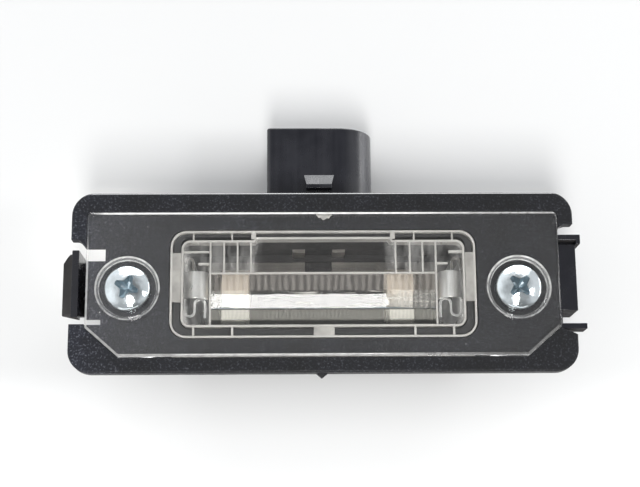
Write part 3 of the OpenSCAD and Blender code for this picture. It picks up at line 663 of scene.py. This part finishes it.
def lathe(name, profile, steps=64, axis="Z", at=(0, 0, 0)):
    """A solid of revolution. profile is a closed list of (r, h) in mm, or one that starts and ends on the axis."""
    ends = profile[0][0] == 0 and profile[-1][0] == 0
    full = []
    for a, b in zip(profile, profile[1:] + ([] if ends else profile[:1])):
        full.append(a)
        d = math.dist(a, b)
        if d > 0.5 and a[0] and b[0]:
            for k in (0.05 / d, 1 - 0.05 / d):
                full.append((a[0] + (b[0] - a[0]) * k, a[1] + (b[1] - a[1]) * k))
    profile = full + (profile[-1:] if ends else [])
    verts, rings = [], []
    for r, h in profile:
        if r == 0:
            rings.append([len(verts)])
            verts.append((0, 0, h))
        else:
            rings.append(list(range(len(verts), len(verts) + steps)))
            verts += [(r * math.cos(2 * math.pi * k / steps), r * math.sin(2 * math.pi * k / steps), h) for k in range(steps)]
    faces = []
    pairs = list(zip(rings, rings[1:])) + ([] if ends else [(rings[-1], rings[0])])
    for a, b in pairs:
        for k in range(steps):
            k2 = (k + 1) % steps
            q = [a[k % len(a)], a[k2 % len(a)], b[k2 % len(b)], b[k % len(b)]]
            q = [v for i, v in enumerate(q) if v not in q[:i]]
            if len(q) > 2:
                faces.append(q)
    if axis == "X":
        verts = [(z, y, -x) for x, y, z in verts]
    verts = [(x + at[0], y + at[1], z + at[2]) for x, y, z in verts]
    o = mesh_object(name, verts, faces)
    bm = bmesh.new()
    bm.from_mesh(o.data)
    bmesh.ops.recalc_face_normals(bm, faces=bm.faces)
    bm.to_mesh(o.data)
    bm.free()
    return o


def arc(cx, cy, r, a0, a1, n):
    return [(cx + r * math.cos(math.radians(a0 + (a1 - a0) * k / n)), cy + r * math.sin(math.radians(a0 + (a1 - a0) * k / n))) for k in range(n + 1)]


def tube(name, path, radius, sides=10, closed=False):
    """A round wire along points in mm, with rounded-off flat ends."""
    pts = [Vector(p) for p in path]
    verts, faces = [], []
    n = len(pts)
    t = (pts[1] - pts[0]).normalized()
    u = t.orthogonal().normalized()
    for i, p in enumerate(pts):
        t2 = (pts[min(i + 1, n - 1)] - pts[max(i - 1, 0)]).normalized()
        u = (u - t2 * u.dot(t2)).normalized()
        v = t2.cross(u)
        for k in range(sides):
            a = 2 * math.pi * k / sides
            verts.append(p + (u * math.cos(a) + v * math.sin(a)) * radius)
    for i in range(n - 1):
        for k in range(sides):
            k2 = (k + 1) % sides
            faces.append((i * sides + k, i * sides + k2, (i + 1) * sides + k2, (i + 1) * sides + k))
    faces.append(tuple(reversed(range(sides))))
    faces.append(tuple((n - 1) * sides + k for k in range(sides)))
    return mesh_object(name, [tuple(v) for v in verts], faces)


# ---------------------------------------------------------------- housing

FLANGE_X, FLANGE_Y, FLANGE_T = 41.5, 15.05, 2.5


def housing_rule(mid, n, g, convex):
    x, y, z = mid
    if not convex:
        return 0
    corner = math.hypot(abs(x) - (FLANGE_X - 3.8), abs(y) - (FLANGE_Y - 3.8))
    outside = abs(abs(y) - FLANGE_Y) < 0.02 or abs(abs(x) - FLANGE_X) < 0.02 or (abs(x) > 37.6 and abs(y) > 11.2 and abs(corner - 3.8) < 0.06)
    if outside and abs(z - FLANGE_T) < 0.02:
        return 0.38
    if outside and abs(z) < 0.02:
        return 0.25
    if y > 27.9:
        return 0.28
    if z < -15.2:
        return 0.5 if y < 9.0 else 0.15
    return 0.1


housing = clone("housing", "housing_body")
rounded(housing, housing_rule)
smooth(housing, 32)


def housing_pick(c, n):
    x, y, z = c
    if abs(x) < 24 and -9.2 < y < 7.9 and -15.6 < z < 0.3:
        return 2
    if y > 14.7 and z > 2.1 and n.y > 0.2 and n.z > 0.2:
        return 3
    if y > 15.3:
        return 4
    if z < -0.1:
        return 2 if abs(x) > 38 and (n.y < -0.8 or n.x < -0.3) else 1
    if x < -38.6 and -6.2 < y < 5.6:
        return 2 if n.y < -0.8 or n.x < -0.3 else 1
    if x > 38.2 and -8 < y < 9:
        return 2 if n.y < -0.8 else 1
    return 0


paint(housing, [M_GRAIN, M_SMOOTH, M_DULL, M_RIDGE, M_SHROUD], housing_pick)
piece(housing, "housing_plastic", "housing")

# ---------------------------------------------------------------- lens

LENS_LOW, LENS_TOP = 1.1, 2.9


def lens_rule(mid, n, g, convex):
    x, y, z = mid
    if not convex:
        return 0
    edge = abs(abs(x) - 38.85) < 0.03 or y > 11.5 or y < -12.3 or (abs(x) > 33.2 and y < -7.5)
    hole = min(math.hypot(x - s * 32.05, y + 1.15) for s in (-1, 1))
    if z > 2.85:
        return 0.22 if hole < 6 else 0.40
    if 2.2 < z < 2.5 and hole < 5:
        return 0.16
    if edge and z > 1.0:
        return 0.12
    if z < -1.1:
        return 0.1
    return 0


lens = clone("lens", "lens_cover")
rounded(lens, lens_rule, segments=4)
for v in lens.data.vertices:
    x, y, z = v.co / MM
    if abs(z - LENS_LOW) < 0.012 and (abs(x) > 25.3 or y > 8.8 or y < -9.4):
        v.co.z += 0.03 * MM
# the leaning flute's underside is a little steeper near its upper side than its solid
for v in lens.data.vertices:
    x, y, z = v.co / MM
    if abs(x) < 18.63 and -4.48 < y < -1.5 and 0.3 < z < 1.05:
        r, t = 16.46, math.radians(19.0)
        v.co.z = (LENS_LOW - 0.01 + r * math.cos(t) - math.sqrt(r * r - (r * math.sin(t) - (-1.44 - y)) ** 2)) * MM
smooth(lens, 35, crease=lambda c: abs(c.x) < 18.5 and abs(c.z - LENS_LOW) < 0.02 and min(abs(c.y - k) for k in (1.32, -1.44, -4.45, -7.1)) < 0.03)


def lens_pick(c, n):
    x, y, z = c
    hole = min(math.hypot(x - s * 32.05, y + 1.15) for s in (-1, 1))
    if 4.4 < hole < 5.5 and 1.95 < z < 2.905 and 0.02 < n.z < 0.99:
        return 4 if 0.67 < n.z < 0.74 else 7
    if 4.2 < hole < 4.9 and 1.92 < z < 2.905 and abs(n.z) <= 0.02:
        return 4
    if z > 2.5 and hole > 6 and n.z < 0.99 and (abs(x) > 38.3 or y > 10.9 or y < -12.0 or (abs(x) > 33 and y < -7.3)):
        return 6
    if abs(x) < 18.42 and 0.4 < z < 1.105 and n.z < -0.5:
        if -1.44 < y < 1.32:
            return 1
        if -7.1 < y < -4.45:
            return 2
        if -4.45 < y < -1.44:
            return 5
    if abs(z - 1.1) < 0.01 and n.z < -0.9 and abs(x) < 23.0 and -7.1 < y < 7.2 and (y > 1.6 or abs(x) > 18.7):
        return 3
    return 0


paint(lens, [M_LENS, M_FLUTE_1, M_FLUTE_3, M_SIDES, M_RING, M_FLUTE_2, M_EDGE, M_RIM], lens_pick)
piece(lens, "lens_plastic", "lens")

# what is left of the lens's own gate, in the middle of its upper edge
gate = []
for k in range(15):
    u = k / 14
    gate.append((-1.15 + 2.6 * u, 11.0 - 0.72 * math.sin(math.pi * u) ** 0.9 * (1.0 + 0.2 * math.sin(17 * u)) + 0.06 * math.sin(29 * u)))
verts = [(x, y, LENS_TOP - 0.05) for x, y in gate] + [(x, 11.28, LENS_TOP - 0.35) for x, y in gate]
verts += [(x, y * 0.55 + 11.2 * 0.45, LENS_TOP + 0.09 * math.sin(math.pi * k / 14)) for k, (x, y) in enumerate(gate)]
n = len(gate)
faces = []
for k in range(n - 1):
    faces += [(k, k + 1, 2 * n + k + 1, 2 * n + k), (2 * n + k, 2 * n + k + 1, n + k + 1, n + k), (n + k, n + k + 1, k + 1, k)]
faces += [(0, 2 * n, n), (n - 1, 2 * n - 1, 3 * n - 1)]
gate = mesh_object("lens_gate_mark", verts, faces)
bm = bmesh.new()
bm.from_mesh(gate.data)
bmesh.ops.recalc_face_normals(bm, faces=bm.faces)
bm.to_mesh(gate.data)
bm.free()
smooth(gate, 60, weighted=False)
paint(gate, [M_BLOCK])
piece(gate, "lens_plastic", "lens")

# The ribs under the plate look light along their whole height: each has a milky core just inside its clear skin, which
# stands for their scattering walls and, as painted light, for the light that the clear ribs carry inside them.


class Cores:
    def __init__(self):
        self.verts, self.faces = [], []

    def box(self, x0, y0, x1, y1, z0, z1):
        n = len(self.verts)
        self.verts += [(x, y, z) for z in (z0, z1) for x, y in ((x0, y0), (x1, y0), (x1, y1), (x0, y1))]
        self.faces += [tuple(n + k for k in f) for f in ((3, 2, 1, 0), (4, 5, 6, 7), (0, 1, 5, 4), (1, 2, 6, 5), (2, 3, 7, 6), (3, 0, 4, 7))]

    def wall(self, path, w, z0, z1):
        """A wall of width w along a closed path, counterclockwise."""
        n, m = len(self.verts), len(path)
        for i in range(m):
            a, b, c = (Vector(path[(i + k) % m]) for k in (-1, 0, 1))
            u, v = (b - a).normalized(), (c - b).normalized()
            out = Vector((u.y + v.y, -u.x - v.x)).normalized()
            out *= (w / 2) / max(0.4, out.dot(Vector((v.y, -v.x))))
            for side in (out, -out):
                for z in (z0, z1):
                    self.verts.append((b.x + side.x, b.y + side.y, z))
        for i in range(m):
            p, q = n + 4 * i, n + 4 * ((i + 1) % m)
            self.faces += [(p, q, q + 1, p + 1), (p + 1, q + 1, q + 3, p + 3), (p + 3, q + 3, q + 2, p + 2), (p + 2, q + 2, q, p)]


def round_path(x, y0, y1, r, extra=()):
    """A rounded rectangle from -x to x and y0 to y1. extra are the points between its upper corners, from right to left."""
    out = []
    for cx, cy, a in ((x - r, y0 + r, -90), (x - r, y1 - r, 0)):
        out += arc(cx, cy, r, a, a + 90, 8)
    out += list(extra)
    for cx, cy, a in ((-x + r, y1 - r, 90), (-x + r, y0 + r, 180)):
        out += arc(cx, cy, r, a, a + 90, 8)
    return out


cores = Cores()
cores.wall(round_path(25.0, -9.05, 8.5, 2.5), 0.33, -1.15, 1.05)
cores.wall(round_path(23.2, -7.3, 6.87, 1.3, ((11.45, 6.87), (10.95, 7.4), (-10.95, 7.4), (-11.45, 6.87))), 0.33, -1.15, 1.05)
for s in (-1, 1):
    for x, w, top in ((11.5, 0.78, True), (21.4, 0.24, True), (15.05, 0.24, True), (21.3, 0.36, False), (14.95, 0.36, False)):
        y0, y1 = (7.0, 8.35) if top else (-8.9, -7.45)
        if top and x < 12:
            y0 = 7.25
        cores.box(s * x - w / 2, y0, s * x + w / 2, y1, 0.54, 1.04)
    x0, x1 = (23.43, 24.9) if s > 0 else (-24.9, -23.43)
    cores.box(x0, -3.26, x1, 4.91, 0.54, 1.04)
    cores.box(s * 18.6 - 0.14, -7.15, s * 18.6 + 0.14, 6.72, 0.24, 1.045)
    x0 = 18.8 if s > 0 else -20.56
    cores.box(x0, 2.97, x0 + 1.76, 3.24, 0.44, 1.03)
for x in (-16.36, -14.14, -11.93, 11.96, 14.32, 16.42):
    cores.box(x - 0.135, 1.6, x + 0.135, 6.75, 0.24, 1.045)
cores.box(-18.42, 1.37, 18.42, 1.62, 0.24, 1.035)
cores.box(-23.0, 4.99, -18.8, 5.21, 0.44, 1.03)
cores.box(20.75, 4.9, 23.0, 5.25, 0.44, 1.03)
cores.box(-1.65, -8.85, 1.75, -7.5, 0.54, 1.04)
ribs = mesh_object("lens_rib_cores", cores.verts, cores.faces)


def core_pick(c, n):
    x, y, z = c
    return 1 if 23.42 < abs(x) < 24.92 and -3.3 < y < 5 or abs(x) < 1.8 and -8.9 < y < -7.45 else 0


paint(ribs, [M_RIB, M_BLOCK], core_pick)
piece(ribs, "lens_plastic", "lens")

seal = clone("lens_seal", "seal_ring")
rounded(seal, lambda mid, n, g, convex: 0.12 if convex else 0)
smooth(seal)
paint(seal, [M_SEAL])
piece(seal, "seal_rubber", "lens_seal")

# ---------------------------------------------------------------- screws

SCREW_X, SCREW_Y, SEAT_Z = 32.05, -1.15, 1.9
HEAD_TOP = SEAT_Z + 2.35


def head_profile():
    """Half of the head's section, from the axis down to the neck."""
    zc, rad, rh = HEAD_TOP - 6.2, 6.2, 3.75
    z_edge = SEAT_Z + 1.0
    pts = [(0.0, HEAD_TOP)]
    r_end = 3.45
    for k in range(1, 15):
        r = r_end * k / 14
        pts.append((r, zc + math.sqrt(rad * rad - r * r)))
    z1 = pts[-1][1]
    pts += [(3.62, z1 - 0.16), (3.72, z1 - 0.36), (rh, z1 - 0.62), (rh, SEAT_Z + 0.2), (rh - 0.06, SEAT_Z + 0.06), (rh - 0.2, SEAT_Z),
            (1.9, SEAT_Z), (1.72, SEAT_Z - 0.05), (1.66, SEAT_Z - 0.2)]
    return pts


def screw(name, node, x, angle):
    prof = head_profile() + [(1.66, -0.2), (1.45, -0.5), (1.42, -9.6), (1.0, -11.3), (0.4, -12.05), (0.0, -12.1)]
    o = lathe(name, prof, 72, at=(x, SCREW_Y, 0))
    # the cross recess, with hollow sides and blunt arms
    top, low = [], []
    for q in range(4):
        base = math.radians(angle + 90 * q)
        outline = [(2.02, -11), (2.1, 0), (2.02, 11), (1.58, 18), (1.2, 31), (1.03, 45), (1.2, 59), (1.58, 72)]
        for r, a in outline:
            t = base + math.radians(a)
            top.append((r * math.cos(t), r * math.sin(t)))
            low.append((r * 0.55 * math.cos(t), r * 0.55 * math.sin(t)))
    n = len(top)
    z0, z1 = HEAD_TOP + 0.4, HEAD_TOP - 1.75
    grow = 1.2
    verts = [(x + a * grow, SCREW_Y + b * grow, z0) for a, b in top] + [(x + a, SCREW_Y + b, z1) for a, b in low] + [(x, SCREW_Y, z1 - 0.45)]
    faces = [tuple(range(n))]
    for k in range(n):
        k2 = (k + 1) % n
        faces.append((k, k + n, k2 + n, k2))
        faces.append((k + n, 2 * n, k2 + n))
    cut = mesh_object(name + "_cut", verts, faces)
    bm = bmesh.new()
    bm.from_mesh(cut.data)
    bmesh.ops.recalc_face_normals(bm, faces=bm.faces)
    bm.to_mesh(cut.data)
    bm.free()
    mod = o.modifiers.new("recess", "BOOLEAN")
    mod.object, mod.operation, mod.solver = cut, "DIFFERENCE", "EXACT"
    bake(o)
    bpy.data.objects.remove(cut)
    # the thread: a helical ridge around the core
    turns, pitch, root, crest = 6.1, 1.45, 1.38, 1.95
    steps = int(turns * 40)
    verts, faces = [], []
    for i in range(steps + 1):
        a = 2 * math.pi * i / 40
        z = -0.55 - pitch * i / 40
        f = min(1.0, i / 16.0, (steps - i) / 30.0)
        c = root + (crest - root) * max(0.0, f) + 0.001
        for r, dz in ((root - 0.15, 0.36), (c, 0.05), (c, -0.05), (root - 0.15, -0.36)):
            verts.append((x + r * math.cos(a), SCREW_Y + r * math.sin(a), z + dz))
    for i in range(steps):
        for k in range(4):
            k2 = (k + 1) % 4
            faces.append((i * 4 + k, i * 4 + k2, (i + 1) * 4 + k2, (i + 1) * 4 + k))
    faces.append((3, 2, 1, 0))
    faces.append(tuple(steps * 4 + k for k in range(4)))
    ridge = mesh_object(name + "_ridge", verts, faces)
    bm = bmesh.new()
    bm.from_mesh(o.data)
    bm.from_mesh(ridge.data)
    bmesh.ops.recalc_face_normals(bm, faces=bm.faces)
    bm.to_mesh(o.data)
    bm.free()
    bpy.data.objects.remove(ridge)
    smooth(o, 32, weighted=False)

    # painted shade: the faces inside the cross recess get the darker zinc
    def recess_pick(c, n):
        r = math.hypot(c.x - x, c.y - SCREW_Y)
        dome = HEAD_TOP - 6.2 + math.sqrt(6.2 ** 2 - min(r, 3.5) ** 2)
        return 1 if r < 2.3 and HEAD_TOP - 2.3 < c.z < dome - 0.02 and n.z < 0.97 or (r < 1.3 and HEAD_TOP - 2.3 < c.z < HEAD_TOP - 0.9) else 0

    paint(o, [M_ZINC, M_RECESS], recess_pick)
    piece(o, "screw_zinc", node)
    return o


screw("screw_left_body", "screw_left", -SCREW_X, 67)
screw("screw_right_body", "screw_right", SCREW_X, 45)

# ---------------------------------------------------------------- contacts

for side in ("left", "right"):
    c = clone("contact_" + side, "contact_" + side + "_strip")
    rounded(c, lambda mid, n, g, convex: 0.07 if convex else 0, segments=2)
    smooth(c)
    # painted shade: the strip's inner part and its part towards the connector take the darker copy of its metal
    paint(c, [M_CONTACT, M_CONTACT_SHADE], lambda c, n: 1 if c.y > 4.4 or abs(c.x) < 19.0 else 0)
    piece(c, "contact_metal", "contact_" + side)

# ---------------------------------------------------------------- bulb

BX, BY, BZ = -0.85, -0.3, -8.3


def glass():
    rg, rn, t = 5.1, 3.6, 0.5
    outer = [(0.35, -15.5)] + [(rn, -15.5), (rn, -11.9)]
    # a smooth shoulder from the neck to the full bulb
    sh = []
    for k in range(13):
        u = k / 12
        s = u * u * (3 - 2 * u)
        sh.append((rn + (rg - rn) * s, -11.7 + 2.1 * u))
    outer += sh + [(rg, 0.0)] + [(r, -h) for r, h in reversed(sh)] + [(rn, 11.9), (rn, 15.5), (0.35, 15.5)]
    inner = []
    sh2 = []
    for k in range(13):
        u = k / 12
        s = u * u * (3 - 2 * u)
        sh2.append((2.0 + (rg - t - 2.0) * s, -12.3 + 2.9 * u))
    inner = [(0.36, -12.45), (1.2, -12.42)] + sh2 + [(rg - t, 0.0)] + [(r, -h) for r, h in reversed(sh2)] + [(1.2, 12.42), (0.36, 12.45)]
    o = lathe("bulb_glass_tube", outer + [(0.352, 14.0)] + list(reversed(inner)) + [(0.352, -14.0)], 72, "X", (BX, BY, BZ))
    smooth(o, 60, weighted=False)
    paint(o, [M_GLASS])
    piece(o, "bulb_glass", "bulb_glass")


glass()


def cap(side, s):
    r, t = 4.25, 0.3
    prof = [(r - t, 11.65), (r - 0.15, 11.6 + 0.02), (r, 11.75), (r, 12.15), (r - 0.07, 12.25), (r - 0.07, 12.35), (r, 12.45), (r, 16.15)]
    prof += arc(r - 0.35, 16.15, 0.35, 0, 55, 5)[1:]
    prof += [(3.2, 16.93), (2.35, 17.4), (1.9, 17.68), (1.62, 17.85), (1.4, 17.97), (1.3, 18.0), (0.9, 18.0), (0.9, 17.65), (r - t - 0.6, 16.45), (r - t, 16.1)]
    o = lathe("bulb_cap_%s_shell" % side, [(a, h * s) for a, h in prof], 72, "X", (BX, BY, BZ))
    smooth(o, 35, weighted=False)
    paint(o, [M_CAP, M_CAP_END], lambda c, n: 1 if abs(c.x - BX) > 16.1 else 0)
    piece(o, "cap_metal", "bulb_cap_" + side)
    tip = lathe("solder_tip_%s_drop" % side, [(a, h * s) for a, h in [(0.0, 17.65), (0.3, 17.65), (0.3, 17.4), (0.85, 17.4), (0.85, 17.98), (0.74, 18.04), (0.5, 18.09), (0.25, 18.115), (0.0, 18.12)]], 48, "X", (BX, BY, BZ))
    smooth(tip, 50, weighted=False)
    paint(tip, [M_SOLDER])
    piece(tip, "solder", "solder_tip_" + side)
    wire = [(BX + s * 6.2, BY, BZ + 0.02), (BX + s * 6.6, BY, BZ + 0.05), (BX + s * 7.0, BY, BZ), (BX + s * 9.0, BY, BZ), (BX + s * 12.0, BY, BZ), (BX + s * 17.5, BY, BZ)]
    w = tube("lead_wire_%s_wire" % side, wire, 0.22, 14)
    smooth(w, 50, weighted=False)
    paint(w, [M_LEAD])
    piece(w, "lead_wire", "lead_wire_" + side)
    c = clone("cap_cement_" + side, "cap_cement_%s_ring" % side)
    rounded(c, lambda mid, n, g, convex: 0.08 if convex else 0, segments=2)
    smooth(c)
    paint(c, [M_CEMENT])
    piece(c, "cement", "cap_cement_" + side)


cap("left", -1)
cap("right", 1)

coil = []
for i in range(46 * 12 + 1):
    a = 2 * math.pi * i / 12
    u = i / (46 * 12)
    coil.append((BX - 6.2 + 12.4 * u, BY + 0.27 * math.cos(a), BZ + 0.27 * math.sin(a) - 0.06 * math.sin(math.pi * u)))
f = tube("filament_coil", coil, 0.055, 6)
smooth(f, 60, weighted=False)
paint(f, [M_FILAMENT])
piece(f, "filament_wire", "filament")

# ---------------------------------------------------------------- end

scene.cycles.max_bounces = 16
scene.cycles.transmission_bounces = 16
scene.cycles.transparent_max_bounces = 16
scene.cycles.glossy_bounces = 8
